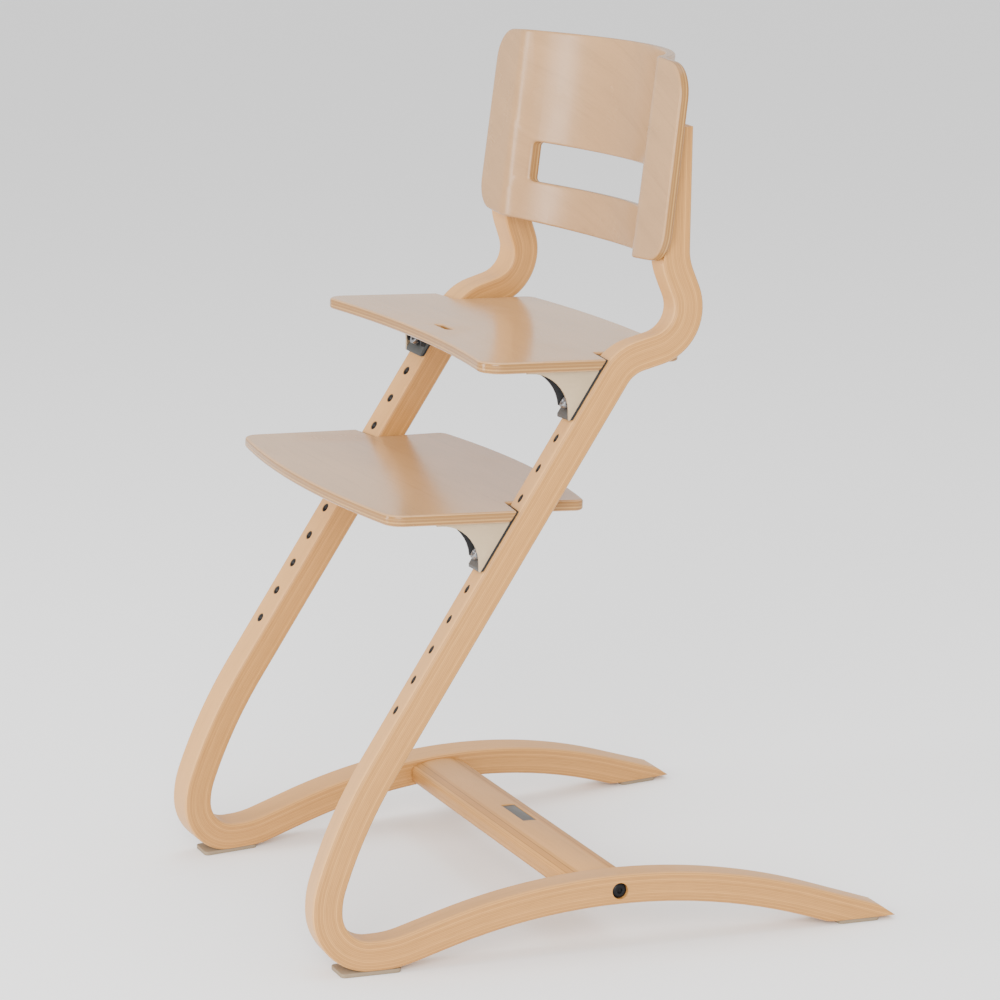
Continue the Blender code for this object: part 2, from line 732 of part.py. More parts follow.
def liner_outline(top, inset):
    """The bracket's outline, a wall smaller, and open along the hollow front edge."""
    centre = bracket_marks(top)[1]
    back = GASKET + 2 * GAP + inset
    high = level(top, leg_front(top), PLATE + GAP + inset)
    low = centre[1]
    edge = arc(centre, BRACKET_HOLLOW + LINER_INSET, 76, 2, 8)
    nose = (edge[0][0], level(top, edge[0][0], PLATE + GAP + inset))
    return [(leg_front(high, back), high), nose] + edge + [(leg_front(low, back), low)]


def bolt_mouth(side, top):
    """Mouth of the lowest leg hole that lies behind a bracket."""
    index = math.ceil((bracket_marks(top)[2] - FIRST_HOLE_Z) / HOLE_STEP_Z)
    return hole_mouth(side, index)


def plate_screw_places(side, top):
    """Where a bracket's two wood screws enter the plate's underside."""
    places = {}
    for end, reach in {"rear": 0.0240, "front": 0.0560}.items():
        y = leg_front(top - PLATE) - reach
        x = in_frame(side)(y, top - PLATE, 0.0).x
        places[end] = Vector((x, y, level(top, y, PLATE)))
    return places


def drill(target, name, side, top, bolt_radius, screw_radius):
    holes = bmesh.new()
    out = forward_normal(side)
    up = plate_normal()
    mouth = bolt_mouth(side, top)
    rod(holes, mouth + out * GASKET * 0.5, mouth + out * (GASKET + 0.0095), bolt_radius, 12)
    for place in plate_screw_places(side, top).values():
        rod(holes, place - up * 0.0075, place + up * 0.003, screw_radius, 12)
    cut(target, cutter(name + "_drill", holes))


def gasket(name, side, top, parent):
    """Strip against the leg, from the bracket's tip to just under the plate's top face."""
    high = top + 0.006
    tip = bracket_marks(top)[2]
    near = GAP
    far = GAP + GASKET
    outline = [(leg_front(high, near), high), (leg_front(high, far), high),
               (leg_front(tip, far), tip), (leg_front(tip, near), tip)]
    bm = bmesh.new()
    prism(bm, outline, in_frame(side), -FRAME_WIDTH / 2 + 0.001, FRAME_WIDTH / 2 - 0.001)
    bmesh.ops.recalc_face_normals(bm, faces=bm.faces)
    keep_side(bm, on_plate(top, 0, 0, GASKET_STEP), plate_normal())
    strip = make_object(name, bm, "black_plastic", parent)
    holes = bmesh.new()
    out = forward_normal(side)
    mouth = bolt_mouth(side, top)
    rod(holes, mouth - out * 0.002, mouth + out * (GASKET + 0.003), BOLT_RADIUS + GAP, 12)
    cut(strip, cutter(name + "_drill", holes))


def bracket_bolt(name, side, top, parent):
    """Socket-head bolt; it stops at the leg's face so that the bracket is free to slide."""
    tip = bolt_mouth(side, top) + forward_normal(side) * GAP
    length = GASKET + BRACKET_WALL + LINER_WALL + 3 * GAP
    profile = ((0, 0), (0, BOLT_RADIUS), (length, BOLT_RADIUS), (length, BOLT_HEAD_RADIUS),
               (length + BOLT_HEAD_HEIGHT, BOLT_HEAD_RADIUS), (length + BOLT_HEAD_HEIGHT, 0.0025),
               (length + 0.0020, 0.0025), (length + 0.0020, 0))
    bm = bmesh.new()
    revolve(bm, tip, forward_normal(side), profile, 14)
    make_object(name, bm, "steel", parent)


def plate_screw(name, place, parent):
    head = GAP + BRACKET_WALL + SCREW_HEAD_PLAY + SCREW_HEAD_HEIGHT
    length = head + SCREW_BITE
    profile = ((0, 0), (0, SCREW_HEAD_RADIUS), (SCREW_HEAD_HEIGHT, SCREW_HEAD_RADIUS),
               (SCREW_HEAD_HEIGHT, SCREW_RADIUS), (length, SCREW_RADIUS), (length, 0))
    bm = bmesh.new()
    revolve(bm, place - plate_normal() * head, plate_normal(), profile, 10)
    make_object(name, bm, "steel", parent)


# ---------------------------------------------------------------------- pads

def pad(name, side, limits):
    place = in_frame(side)
    y0, y1 = limits
    x0 = place(y0, PAD_HEIGHT, 0.0).x
    x1 = place(y1, PAD_HEIGHT, 0.0).x
    half = PAD_WIDTH / 2
    corners = [(x0 - half, y0, PAD_CORNER), (x0 + half, y0, PAD_CORNER),
               (x1 + half, y1, PAD_CORNER), (x1 - half, y1, PAD_CORNER)]
    bm = bmesh.new()
    prism(bm, rounded_outline(corners), lambda x, y, z: Vector((x, y, z)), 0.0, PAD_HEIGHT)
    make_object(name, bm, "pad")


# ------------------------------------------------------------------ assembly

def slider(name, top):
    """Empty on the slide's line, parent of everything that moves with a plate."""
    empty = bpy.data.objects.new(name, None)
    empty.location = (0.0, leg_front(top), top)
    bpy.context.collection.objects.link(empty)
    bpy.context.view_layer.update()
    return empty


def main():
    clear_scene()
    for side_name, side in SIDES.items():
        side_frame(side_name + "_side_frame", side)
        crossbar_fixings(side_name, side)
        pad("front_pad_" + side_name, side, FRONT_PAD_Y)
        pad("rear_pad_" + side_name, side, REAR_PAD_Y)
        for level, along in BACK_SCREW_AT.items():
            backrest_screw("backrest_screw_" + side_name + "_" + level, side, along)
    crossbar()
    backrest()
    seat_slide = slider("seat_slide", SEAT_TOP)
    foot_slide = slider("foot_slide", FOOT_TOP)
    seat_plate(seat_slide)
    foot_plate(foot_slide)
    for plate_name, top, parent in (("seat", SEAT_TOP, seat_slide), ("foot", FOOT_TOP, foot_slide)):
        for side_name, side in SIDES.items():
            bracket(plate_name + "_bracket_" + side_name, side, top, parent)
            liner(plate_name + "_bracket_liner_" + side_name, side, top, parent)
            gasket(plate_name + "_bracket_gasket_" + side_name, side, top, parent)
            bracket_bolt(plate_name + "_bracket_bolt_" + side_name, side, top, parent)
            for end, place in plate_screw_places(side, top).items():
                plate_screw(plate_name + "_plate_screw_" + side_name + "_" + end, place, parent)
    for made in bpy.data.objects:
        if made.parent is None:
            made.location.y -= ORIGIN_Y


main()
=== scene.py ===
"""Looks of the adjustable wooden high chair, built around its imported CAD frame.

Metres, +Z up, +X is the chair's left side, and the chair faces -Y.  The wooden pieces are
rebuilt with finer bends and rounded edges.  Two UV maps carry a place in the wood: "grain"
holds (along the grain, across it) and "depth" holds the distance through the veneers.
"""

import math

import bmesh
import bpy
import numpy as np
from mathutils import Matrix, Vector


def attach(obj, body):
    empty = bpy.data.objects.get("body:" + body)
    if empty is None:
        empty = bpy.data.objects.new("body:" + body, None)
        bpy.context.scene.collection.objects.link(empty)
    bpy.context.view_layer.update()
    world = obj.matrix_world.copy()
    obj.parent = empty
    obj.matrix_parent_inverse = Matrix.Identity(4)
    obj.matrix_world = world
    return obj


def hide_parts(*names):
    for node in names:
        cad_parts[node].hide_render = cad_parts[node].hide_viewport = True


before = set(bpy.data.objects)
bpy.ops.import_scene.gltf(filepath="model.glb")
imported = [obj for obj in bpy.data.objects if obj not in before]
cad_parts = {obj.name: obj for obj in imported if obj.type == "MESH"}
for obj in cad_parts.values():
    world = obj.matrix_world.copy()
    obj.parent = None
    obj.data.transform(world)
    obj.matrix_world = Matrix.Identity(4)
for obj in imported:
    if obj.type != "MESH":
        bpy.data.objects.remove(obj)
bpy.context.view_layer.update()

# ---------------------------------------------------------------- dimensions
# The drawing starts at the front of the feet; OFFSET moves it to the chair's own origin.
OFFSET = Vector((0.0, -0.2589, 0.0))
GAP = 0.0003

SPLAY = math.radians(7.0)
LEG_ANGLE = math.radians(56.4)
LEG_Y = 0.1191
LEG_Z = 0.2996
LEG_X = 0.1847
LEG = Vector((0.0, math.cos(LEG_ANGLE), math.sin(LEG_ANGLE)))
FRAME_DEPTH = 0.0285
FRAME_WIDTH = 0.0330
FRAME_ROUND = 0.0040
FRAME_TOP_Z = 0.7610
UP_PATH = ((0.2840, 0), (0.042, -41.4), (0.0187, 0), (0.040, 95.0), (0.016, 0), (0.060, -22.7),
           (0.125, 0))
DOWN_PATH = ((0.1313, 0), (0.473, 14.3), (0.082, 19.3), (0.0412, 90.0), (0.006, 0), (0.105, 16.3),
             (0.0393, 0), (0.590, -35.6), (0.0829, 0))
TIP_Y = 0.5250
TIP_Z = 0.0180
TIP_SLOPE = math.radians(36.0)
VENEER = 0.0015
EDGE_BREAK = 0.0005                   # chamfer of sharp wooden edges

PAD_HEIGHT = 0.0040
BRACKET_WALL = 0.0026

HOLE_COUNT = 12
HOLE_STEP_Z = 0.0320 * LEG.z
FIRST_HOLE_Z = 0.2411
HOLE_RADIUS = 0.0046
HOLE_LENGTH = 0.0150

PLATE = 0.0105
PLATE_TILT = math.radians(2.4)
PLATE_EDGE = 0.0026                   # radius of the rounded edges
SEAT_TOP = 0.5539
FOOT_TOP = SEAT_TOP - 5 * HOLE_STEP_Z
LEG_CLEAR = 0.0038
HALF_AT_LEG = 0.2035
REAR_HALF_AT_LEG = 0.1632
REAR_HALF = 0.1715
NOTCH_CORNER = 0.0025
SEAT_FRONT = (0.1575, -0.400, 0.2050, 0.0190)
SEAT_REAR = (0.3665, -0.400, 0.0110)
FOOT_FRONT = (0.0365, 0.430, 0.1995, 0.0180)
FOOT_REAR = (0.2740, -0.550, 0.0100)
STRAP_SLOT = (0.0, 0.1885, 0.0160, 0.0036)

BAR_Y = 0.2605
BAR_Z = 0.0535
BAR_WIDTH = 0.0590
BAR_THICK = 0.0230
BAR_CROWN = 0.0050
BAR_TOP_ROUND = 0.0060
BAR_LOW_ROUND = 0.0080
BAR_BOLT_Y = 0.2675
BAR_BOLT_Z = 0.0555
BAR_HEAD_RADIUS = 0.0075
BAR_HEAD_DEPTH = 0.0050
BADGE = (0.0, 0.2662, 0.0280, 0.0070)
BADGE_THICK = 0.0012
BADGE_DEPTH = 0.0015                  # its face lies below the bar's highest line
BADGE_CORNER = 0.0015

BACK_PLY = 0.0095
BACK_LEAN = math.radians(7.5)
BACK_FOOT_Y = 0.3220
BACK_FOOT_Z = 0.6375
BACK_BOTTOM = 0.0030
BACK_TOP = 0.1805
BACK_CROWN = 0.0085
BACK_LOW_HALF = 0.2115
BACK_HIGH_HALF = 0.2080
BACK_LOW_CORNER = 0.0270
BACK_HIGH_CORNER = 0.0330
BACK_SAG = 0.0580
BACK_BOW_HALF = 0.1485
BACK_BLEND = 0.0060
BACK_EDGE = 0.0024
BACK_VENEER = 0.00136
BACK_STRIPS = 92                      # strips that follow the curve
SLOT_HALF = 0.1300
SLOT_LOW = 0.0375
SLOT_HIGH = 0.0765
SLOT_CORNER = 0.0040
BACK_SCREW_HEAD = 0.0052
BACK_SCREW_AT = {"lower": 0.0550, "upper": 0.1020}
UPRIGHT_DEPTH = 0.0215
UPRIGHT_TAPER = 0.071

# The picture: lens for a 36 mm sensor, and where the camera stands before OFFSET
LENS = 127.85508
CAMERA_AZIMUTH = math.radians(66.600)
CAMERA_ELEVATION = math.radians(12.664)
CAMERA_SPOT = Vector((3.07957, -1.08663, 1.13715))
FLOOR_SIZE = 40.0

SIDES = {"left": 1.0, "right": -1.0}


# ------------------------------------------------------------ node materials

class Nodes:
    """Short calls for building a material's nodes."""

    def __init__(self, name):
        self.material = bpy.data.materials.new(name)
        self.material.use_nodes = True
        self.tree = self.material.node_tree
        self.shader = self.tree.nodes["Principled BSDF"]

    def put(self, socket, value):
        if isinstance(value, bpy.types.NodeSocket):
            self.tree.links.new(value, socket)
        elif value is not None:
            socket.default_value = value

    def math(self, operation, a, b=None, c=None):
        node = self.tree.nodes.new("ShaderNodeMath")
        node.operation = operation
        for socket, value in zip(node.inputs, (a, b, c)):
            self.put(socket, value)
        return node.outputs[0]

    def vector(self, x, y, z):
        node = self.tree.nodes.new("ShaderNodeCombineXYZ")
        for socket, value in zip(node.inputs, (x, y, z)):
            self.put(socket, value)
        return node.outputs[0]

    def uv(self, name):
        node = self.tree.nodes.new("ShaderNodeUVMap")
        node.uv_map = name
        split = self.tree.nodes.new("ShaderNodeSeparateXYZ")
        self.tree.links.new(node.outputs[0], split.inputs[0])
        return split.outputs[0], split.outputs[1]

    def place(self):
        return self.tree.nodes.new("ShaderNodeTexCoord").outputs["Object"]

    def scaled(self, vector, scale):
        node = self.tree.nodes.new("ShaderNodeVectorMath")
        node.operation = "MULTIPLY"
        self.put(node.inputs[0], vector)
        node.inputs[1].default_value = scale
        return node.outputs[0]

    def noise(self, vector, scale=1.0, detail=3.0, roughness=0.55, distortion=0.0):
        node = self.tree.nodes.new("ShaderNodeTexNoise")
        self.put(node.inputs["Vector"], vector)
        node.inputs["Scale"].default_value = scale
        node.inputs["Detail"].default_value = detail
        node.inputs["Roughness"].default_value = roughness
        node.inputs["Distortion"].default_value = distortion
        return node.outputs[0]

    def random(self, value):
        node = self.tree.nodes.new("ShaderNodeTexWhiteNoise")
        node.noise_dimensions = "1D"
        self.put(node.inputs["W"], value)
        return node.outputs["Value"]

    def ramp(self, value, low, high, to_low=0.0, to_high=1.0):
        node = self.tree.nodes.new("ShaderNodeMapRange")
        node.interpolation_type = "SMOOTHSTEP"
        for key, number in (("From Min", low), ("From Max", high), ("To Min", to_low), ("To Max", to_high)):
            node.inputs[key].default_value = number
        self.put(node.inputs["Value"], value)
        return node.outputs[0]

    def mix(self, share, first, second, blend="MIX"):
        node = self.tree.nodes.new("ShaderNodeMix")
        node.data_type = "RGBA"
        node.blend_type = blend
        self.put(node.inputs[0], share)
        for socket, value in ((node.inputs[6], first), (node.inputs[7], second)):
            if isinstance(value, tuple):
                value = (*value, 1.0)
            self.put(socket, value)
        return node.outputs[2]

    def bump(self, height, strength, distance):
        node = self.tree.nodes.new("ShaderNodeBump")
        node.inputs["Strength"].default_value = strength
        node.inputs["Distance"].default_value = distance
        self.tree.links.new(height, node.inputs["Height"])
        self.put(self.shader.inputs["Normal"], node.outputs[0])

    def set(self, **values):
        names = {"colour": "Base Color", "roughness": "Roughness", "metallic": "Metallic",
                 "specular": "Specular IOR Level"}
        for key, value in values.items():
            if isinstance(value, tuple):
                value = (*value, 1.0)
            self.put(self.shader.inputs[names[key]], value)


def wood(name, tones, layers, crossed, figure, roughness, specular, relief, skew=0.0):
    """Lacquered veneered wood: tones are face, inner veneer and glue, and layers is the
    veneer's thickness and half the whole stack; skew turns the grain out of the long axis."""
    n = Nodes(name)
    face, inside, glue = tones
    veneer, half = layers
    along, across = n.uv("grain")
    depth, _ = n.uv("depth")
    turned = n.math("SUBTRACT", along, n.math("MULTIPLY", across, skew))
    lifted = n.math("ADD", across, n.math("MULTIPLY", along, skew))
    spot = n.vector(turned, lifted, depth)

    band = n.noise(n.scaled(spot, (3.0, 14.0, 14.0)), detail=3.0, distortion=figure)
    streak = n.noise(n.scaled(spot, (7.0, 160.0, 90.0)), detail=4.0, roughness=0.6, distortion=0.4)
    fibre = n.noise(n.scaled(spot, (45.0, 1300.0, 700.0)), detail=3.0, roughness=0.65)
    fleck = n.noise(n.scaled(spot, (260.0, 2100.0, 900.0)), detail=1.0)
    fleck = n.ramp(fleck, 0.60, 0.72)

    count = n.math("DIVIDE", n.math("ADD", depth, half), veneer)
    number = n.math("FLOOR", count)
    edge = n.math("ABSOLUTE", n.math("SUBTRACT", n.math("FRACT", count), 0.5))
    line = n.ramp(edge, 0.40, 0.495)
    tone = n.random(number)
    inner = n.ramp(n.math("ABSOLUTE", depth), half - veneer * 0.95, half - veneer * 0.75, 1.0, 0.0)

    dark = tuple(c * 0.80 for c in face)
    light = tuple(min(c * 1.10, 0.92) for c in face)
    base = n.mix(n.ramp(band, 0.30, 0.70), face, light)
    base = n.mix(n.math("MULTIPLY", n.ramp(streak, 0.50, 0.78), 0.42), base, dark)
    base = n.mix(n.math("MULTIPLY", n.ramp(fibre, 0.45, 0.80), 0.30), base, dark)
    base = n.mix(n.math("MULTIPLY", fleck, 0.30), base, tuple(c * 0.62 for c in face))

    core = n.mix(n.math("MULTIPLY", tone, 0.55), inside, glue)
    if crossed:
        odd = n.math("MODULO", number, 2.0)
        core = n.mix(n.math("MULTIPLY", odd, 0.75), core, glue)
    core = n.mix(n.math("MULTIPLY", line, 0.80), core, tuple(c * 0.55 for c in glue))
    core = n.mix(n.math("MULTIPLY", n.ramp(fibre, 0.40, 0.80), 0.25), core, tuple(c * 0.7 for c in glue))
    colour = n.mix(inner, base, core)

    # Rubbed patches, where the lacquer has gone dull
    worn = n.ramp(n.noise(n.place(), scale=9.0, detail=5.0), 0.52, 0.72)
    rough = n.math("ADD", n.math("MULTIPLY", worn, 0.10), roughness)
    rough = n.math("ADD", rough, n.math("MULTIPLY", fibre, 0.08))
    height = n.math("SUBTRACT", n.math("MULTIPLY", fibre, 0.5), n.math("MULTIPLY", fleck, 0.6))
    height = n.math("SUBTRACT", height, n.math("MULTIPLY", n.math("MULTIPLY", line, inner), 0.8))
    n.set(colour=colour, roughness=rough, specular=specular)
    n.bump(height, relief, 0.0004)
    return n.material


def outer_cheek(n):
    """1 on the outer cheek of a bracket and 0 on the walls behind it, where painted shade goes."""
    split = n.tree.nodes.new("ShaderNodeSeparateXYZ")
    n.put(split.inputs[0], n.place())
    x, y, z = split.outputs
    normal = Vector((math.cos(SPLAY), -LEG.z * math.sin(SPLAY), LEG.y * math.sin(SPLAY)))
    start = normal.dot(Vector((LEG_X, LEG_Y, LEG_Z)) + OFFSET)
    out = n.math("MULTIPLY", n.math("ABSOLUTE", x), normal.x)
    out = n.math("ADD", out, n.math("MULTIPLY", y, normal.y))
    out = n.math("ADD", out, n.math("MULTIPLY", z, normal.z))
    wall = start + FRAME_WIDTH / 2 - BRACKET_WALL
    return n.ramp(out, wall - 0.0002, wall + 0.0002)


def metal(name, colour, roughness, metallic, brush=(400.0, 400.0, 400.0), specular=0.5, inner=None):
    """Metal or a metallic finish, with a fine grain and rubbed spots; inner is a near-black
    painted shade for the walls of a bracket behind its outer cheek."""
    n = Nodes(name)
    grain = n.noise(n.scaled(n.place(), brush), detail=3.0, roughness=0.6)
    spots = n.ramp(n.noise(n.place(), scale=120.0, detail=4.0), 0.50, 0.75)
    tint = n.mix(n.math("MULTIPLY", grain, 0.30), colour, tuple(c * 0.78 for c in colour))
    tint = n.mix(n.math("MULTIPLY", spots, 0.18), tint, tuple(min(1.0, c * 1.25 + 0.01) for c in colour))
    rough = n.math("ADD", n.math("MULTIPLY", grain, 0.14), roughness - 0.05)
    # Painted shade: the walls behind the outer cheek turn near black and lose their metal look.
    if inner:
        cheek = outer_cheek(n)
        tint = n.mix(cheek, inner, tint)
        metallic = n.math("MULTIPLY", cheek, metallic)
    n.set(colour=tint, roughness=rough, metallic=metallic, specular=specular)
    n.bump(grain, 0.10, 0.0002)
    return n.material


def plastic(name, colour, roughness, grain_size, depth):
    """Moulded plastic or rubber with a fine spark-eroded texture and a little dust."""
    n = Nodes(name)
    texture = n.noise(n.place(), scale=1.0 / grain_size, detail=2.0)
    cloud = n.ramp(n.noise(n.place(), scale=45.0, detail=4.0), 0.40, 0.75)
    tint = n.mix(n.math("MULTIPLY", cloud, 0.35), colour, tuple(c * 0.82 + 0.012 for c in colour))
    rough = n.math("ADD", n.math("MULTIPLY", texture, 0.15), roughness - 0.06)
    n.set(colour=tint, roughness=rough, specular=0.25)
    n.bump(texture, 0.25, depth)
    return n.material


# Tones of the wood: face veneer, inner veneers, glue
FRAME_TONES = ((0.530, 0.276, 0.096), (0.550, 0.274, 0.078), (0.340, 0.150, 0.038))
PLATE_TONES = ((0.445, 0.252, 0.112), (0.430, 0.230, 0.074), (0.250, 0.118, 0.034))
BACK_TONES = ((0.365, 0.207, 0.094), (0.430, 0.230, 0.074), (0.250, 0.118, 0.034))
MATERIALS = {
    "beech": wood("beech_laminated", FRAME_TONES, (VENEER, FRAME_DEPTH / 2), False, 0.8, 0.40, 0.30, 0.16),
    "bar": wood("beech_bar", FRAME_TONES, (VENEER, BAR_THICK / 2), False, 0.8, 0.40, 0.30, 0.16),
    "plate": wood("plate_ply", PLATE_TONES, (VENEER, PLATE / 2), True, 1.2, 0.13, 0.36, 0.05),
    "back": wood("back_ply", BACK_TONES, (BACK_VENEER, BACK_PLY / 2), True, 2.2, 0.20, 0.32, 0.06, 0.38),
    # The aluminium's inner colour is painted shade on the bracket walls behind the outer cheek.
    "aluminium": metal("champagne_aluminium", (0.46, 0.345, 0.210), 0.42, 0.50, (60.0, 60.0, 900.0),
                       inner=(0.030, 0.031, 0.028)),
    "black_plastic": plastic("black_plastic", (0.010, 0.010, 0.011), 0.50, 0.0006, 0.0001),
    "steel": metal("zinc_steel", (0.30, 0.30, 0.31), 0.34, 0.9),
    "black_steel": metal("black_oxide", (0.006, 0.006, 0.007), 0.42, 0.1, specular=0.18),
    "pad": plastic("pad_felt", (0.245, 0.185, 0.120), 0.80, 0.0009, 0.0003),
    "badge": metal("badge_face", (0.110, 0.106, 0.098), 0.40, 0.5, (40.0, 1200.0, 400.0)),
    "insert": metal("insert_steel", (0.045, 0.042, 0.040), 0.45, 0.5, specular=0.1),
}


# ------------------------------------------------------------------ geometry

def arc(centre, radius, start, end, steps):
    """Points on an arc in a plane, with the angles in degrees."""
    points = []
    for i in range(steps + 1):
        angle = math.radians(start + (end - start) * i / steps)
        points.append((centre[0] + radius * math.cos(angle), centre[1] + radius * math.sin(angle)))
    return points


def across(side):
    """Unit normal of a side frame's plane, pointing outwards."""
    return Vector((side * math.cos(SPLAY), -LEG.z * math.sin(SPLAY), LEG.y * math.sin(SPLAY)))


def in_frame(side):
    """A function that places (y, z, outward offset) of a side frame in space."""
    normal = across(side)

    def place(y, z, w):
        behind = (y - LEG_Y) * LEG.z - (z - LEG_Z) * LEG.y
        return Vector((side * (LEG_X + math.tan(SPLAY) * behind), y, z)) + normal * w
    return place


def leg_front(z, forward=0.0):
    """Y of the leg's front face at a height, or of a line in front of it."""
    axis_y = LEG_Y + (z - LEG_Z) * LEG.y / LEG.z
    return axis_y - (FRAME_DEPTH / 2 + forward) / LEG.z


def forward_normal(side):
    """Unit normal of the leg's front face."""
    return across(side).cross(LEG) * side


def walk(path, heading, segment=0.004):
    """Centre line of a chain of straights and bends: (y, z, heading) at each step."""
    y, z = LEG_Y, LEG_Z
    stations = [(y, z, heading)]
    for size, turn in path:
        length = size if turn == 0 else size * math.radians(abs(turn))
        steps = max(2, math.ceil(length / (segment if turn else 0.020)))
        for _ in range(steps):
            change = math.radians(turn) / steps
            chord = length / steps
            if turn:
                chord = 2 * size * math.sin(abs(change) / 2)
            y += chord * math.cos(heading + change / 2)
            z += chord * math.sin(heading + change / 2)
            heading += change
            stations.append((y, z, heading))
    return stations


def frame_line():
    """The whole centre line of a side frame, from the rear tip to the top."""
    down = walk(DOWN_PATH, LEG_ANGLE + math.pi)
    up = walk(UP_PATH, LEG_ANGLE)
    return [(y, z, h - math.pi) for y, z, h in reversed(down)] + up[1:]


def hole_mouth(side, index):
    """Middle of a hole's mouth on the leg's front face."""
    z = FIRST_HOLE_Z + index * HOLE_STEP_Z
    return in_frame(side)(leg_front(z), z, 0.0)


def prism(bm, points, place, low, high):
    """Extrude a flat outline: place(a, b, w) gives a point in space."""
    bottom = [bm.verts.new(place(a, b, low)) for a, b in points]
    top = [bm.verts.new(place(a, b, high)) for a, b in points]
    bm.faces.new(bottom)
    bm.faces.new(top[::-1])
    for i in range(len(points)):
        j = (i + 1) % len(points)
        bm.faces.new((bottom[i], top[i], top[j], bottom[j]))


def rod(bm, start, end, radius, sides=32):
    """A round bar between two points."""
    start = Vector(start)
    axis = Vector(end) - start
    turn = axis.to_track_quat("Z", "Y").to_matrix().to_4x4()
    bmesh.ops.create_cone(bm, cap_ends=True, segments=sides, radius1=radius, radius2=radius,
                          depth=axis.length, matrix=Matrix.Translation(start + axis / 2) @ turn)


def revolve(bm, start, axis, profile, sides=32):
    """Turn a closed outline of (distance along the axis, radius) about an axis."""
    turn = Vector(axis).to_track_quat("Z", "Y").to_matrix()
    rings = []
    for along, radius in profile:
        if radius == 0:
            rings.append([bm.verts.new(Vector(start) + turn @ Vector((0, 0, along)))])
            continue
        ring = []
        for i in range(sides):
            angle = 2 * math.pi * i / sides
            offset = Vector((radius * math.cos(angle), radius * math.sin(angle), along))
            ring.append(bm.verts.new(Vector(start) + turn @ offset))
        rings.append(ring)
    for first, second in zip(rings, rings[1:] + rings[:1]):
        if len(first) == 1 and len(second) == 1:
            continue
        for i in range(sides):
            j = (i + 1) % sides
            corners = [first[i % len(first)], second[i % len(second)]]
            corners += [second[j % len(second)], first[j % len(first)]]
            bm.faces.new(list(dict.fromkeys(corners)))


def keep_side(bm, point, normal):
    """Cut with a plane, drop what lies on the side its normal points to, and close the cut."""
    parts = bm.verts[:] + bm.edges[:] + bm.faces[:]
    result = bmesh.ops.bisect_plane(bm, geom=parts, dist=1e-7, plane_co=point, plane_no=normal,
                                    clear_outer=True)
    rim = [item for item in result["geom_cut"] if isinstance(item, bmesh.types.BMEdge)]
    bmesh.ops.edgeloop_fill(bm, edges=rim)


def rounded_outline(corners, steps=8):
    """Closed outline with rounded corners: each corner is (x, y, radius)."""
    points = []
    count = len(corners)
    for i, (x, y, radius) in enumerate(corners):
        here = Vector((x, y))
        if radius == 0:
            points.append((x, y))
            continue
        back = (Vector(corners[i - 1][:2]) - here).normalized()
        ahead = (Vector(corners[(i + 1) % count][:2]) - here).normalized()
        half = back.angle(ahead) / 2
        reach = radius / math.tan(half)
        centre = here + (back + ahead).normalized() * (radius / math.sin(half))
        first = here + back * reach - centre
        last = here + ahead * reach - centre
        turn = first.angle_signed(last)
        for step in range(steps + 1):
            spin = Matrix.Rotation(-turn * step / steps, 2)
            points.append(tuple(centre + spin @ first))
    return points


def box_outline(x0, y0, x1, y1, radius):
    return rounded_outline([(x0, y0, radius), (x1, y0, radius), (x1, y1, radius), (x0, y1, radius)])


def inset(points, amount):
    """Move a closed outline inwards along the mean of its neighbours' normals."""
    area = 0.0
    count = len(points)
    for i, (x, y) in enumerate(points):
        nx, ny = points[(i + 1) % count]
        area += x * ny - nx * y
    sign = 1.0 if area > 0 else -1.0
    moved = []
    for i, (x, y) in enumerate(points):
        before = Vector((x, y)) - Vector(points[i - 1])
        after = Vector(points[(i + 1) % count]) - Vector((x, y))
        tangents = before.normalized() + after.normalized()
        normal = Vector((-tangents.y, tangents.x)).normalized() * sign
        stretch = 1 / max(0.6, normal.dot(Vector((-after.y, after.x)).normalized() * sign))
        moved.append(tuple(Vector((x, y)) + normal * amount * stretch))
    return moved


def make_object(name, bm, look=None, smooth=40):
    """Turn a bmesh drawn from the front of the feet into a piece in the chair's frame."""
    bmesh.ops.recalc_face_normals(bm, faces=bm.faces)
    bm.transform(Matrix.Translation(OFFSET))
    mesh = bpy.data.meshes.new(name)
    bm.to_mesh(mesh)
    bm.free()
    if look:
        mesh.materials.append(MATERIALS[look])
    mesh.shade_smooth()
    mesh.set_sharp_from_angle(angle=math.radians(smooth))
    made = bpy.data.objects.new(name, mesh)
    bpy.context.scene.collection.objects.link(made)
    return made


def apply_modifiers(made):
    """Replace an object's mesh by its evaluated one."""
    bpy.context.view_layer.update()
    graph = bpy.context.evaluated_depsgraph_get()
    mesh = bpy.data.meshes.new_from_object(made.evaluated_get(graph))
    made.modifiers.clear()
    made.data = mesh
    return mesh


def cut(made, bm):
    """Take a closed shape away from a piece."""
    tool = make_object("tool", bm)
    modifier = made.modifiers.new("tool", "BOOLEAN")
    modifier.operation = "DIFFERENCE"
    modifier.solver = "EXACT"
    modifier.object = tool
    apply_modifiers(made)
    bpy.data.objects.remove(tool, do_unlink=True)


def soften(made, width, segments=2, limit=40):
    """Break the sharp edges and keep the flat faces flat."""
    bevel = made.modifiers.new("edges", "BEVEL")
    bevel.width = width
    bevel.segments = segments
    bevel.limit_method = "ANGLE"
    bevel.angle_limit = math.radians(limit)
    bevel.harden_normals = False
    weighted = made.modifiers.new("normals", "WEIGHTED_NORMAL")
    weighted.keep_sharp = True
    mesh = apply_modifiers(made)
    mesh.shade_smooth()
    mesh.set_sharp_from_angle(angle=math.radians(50))


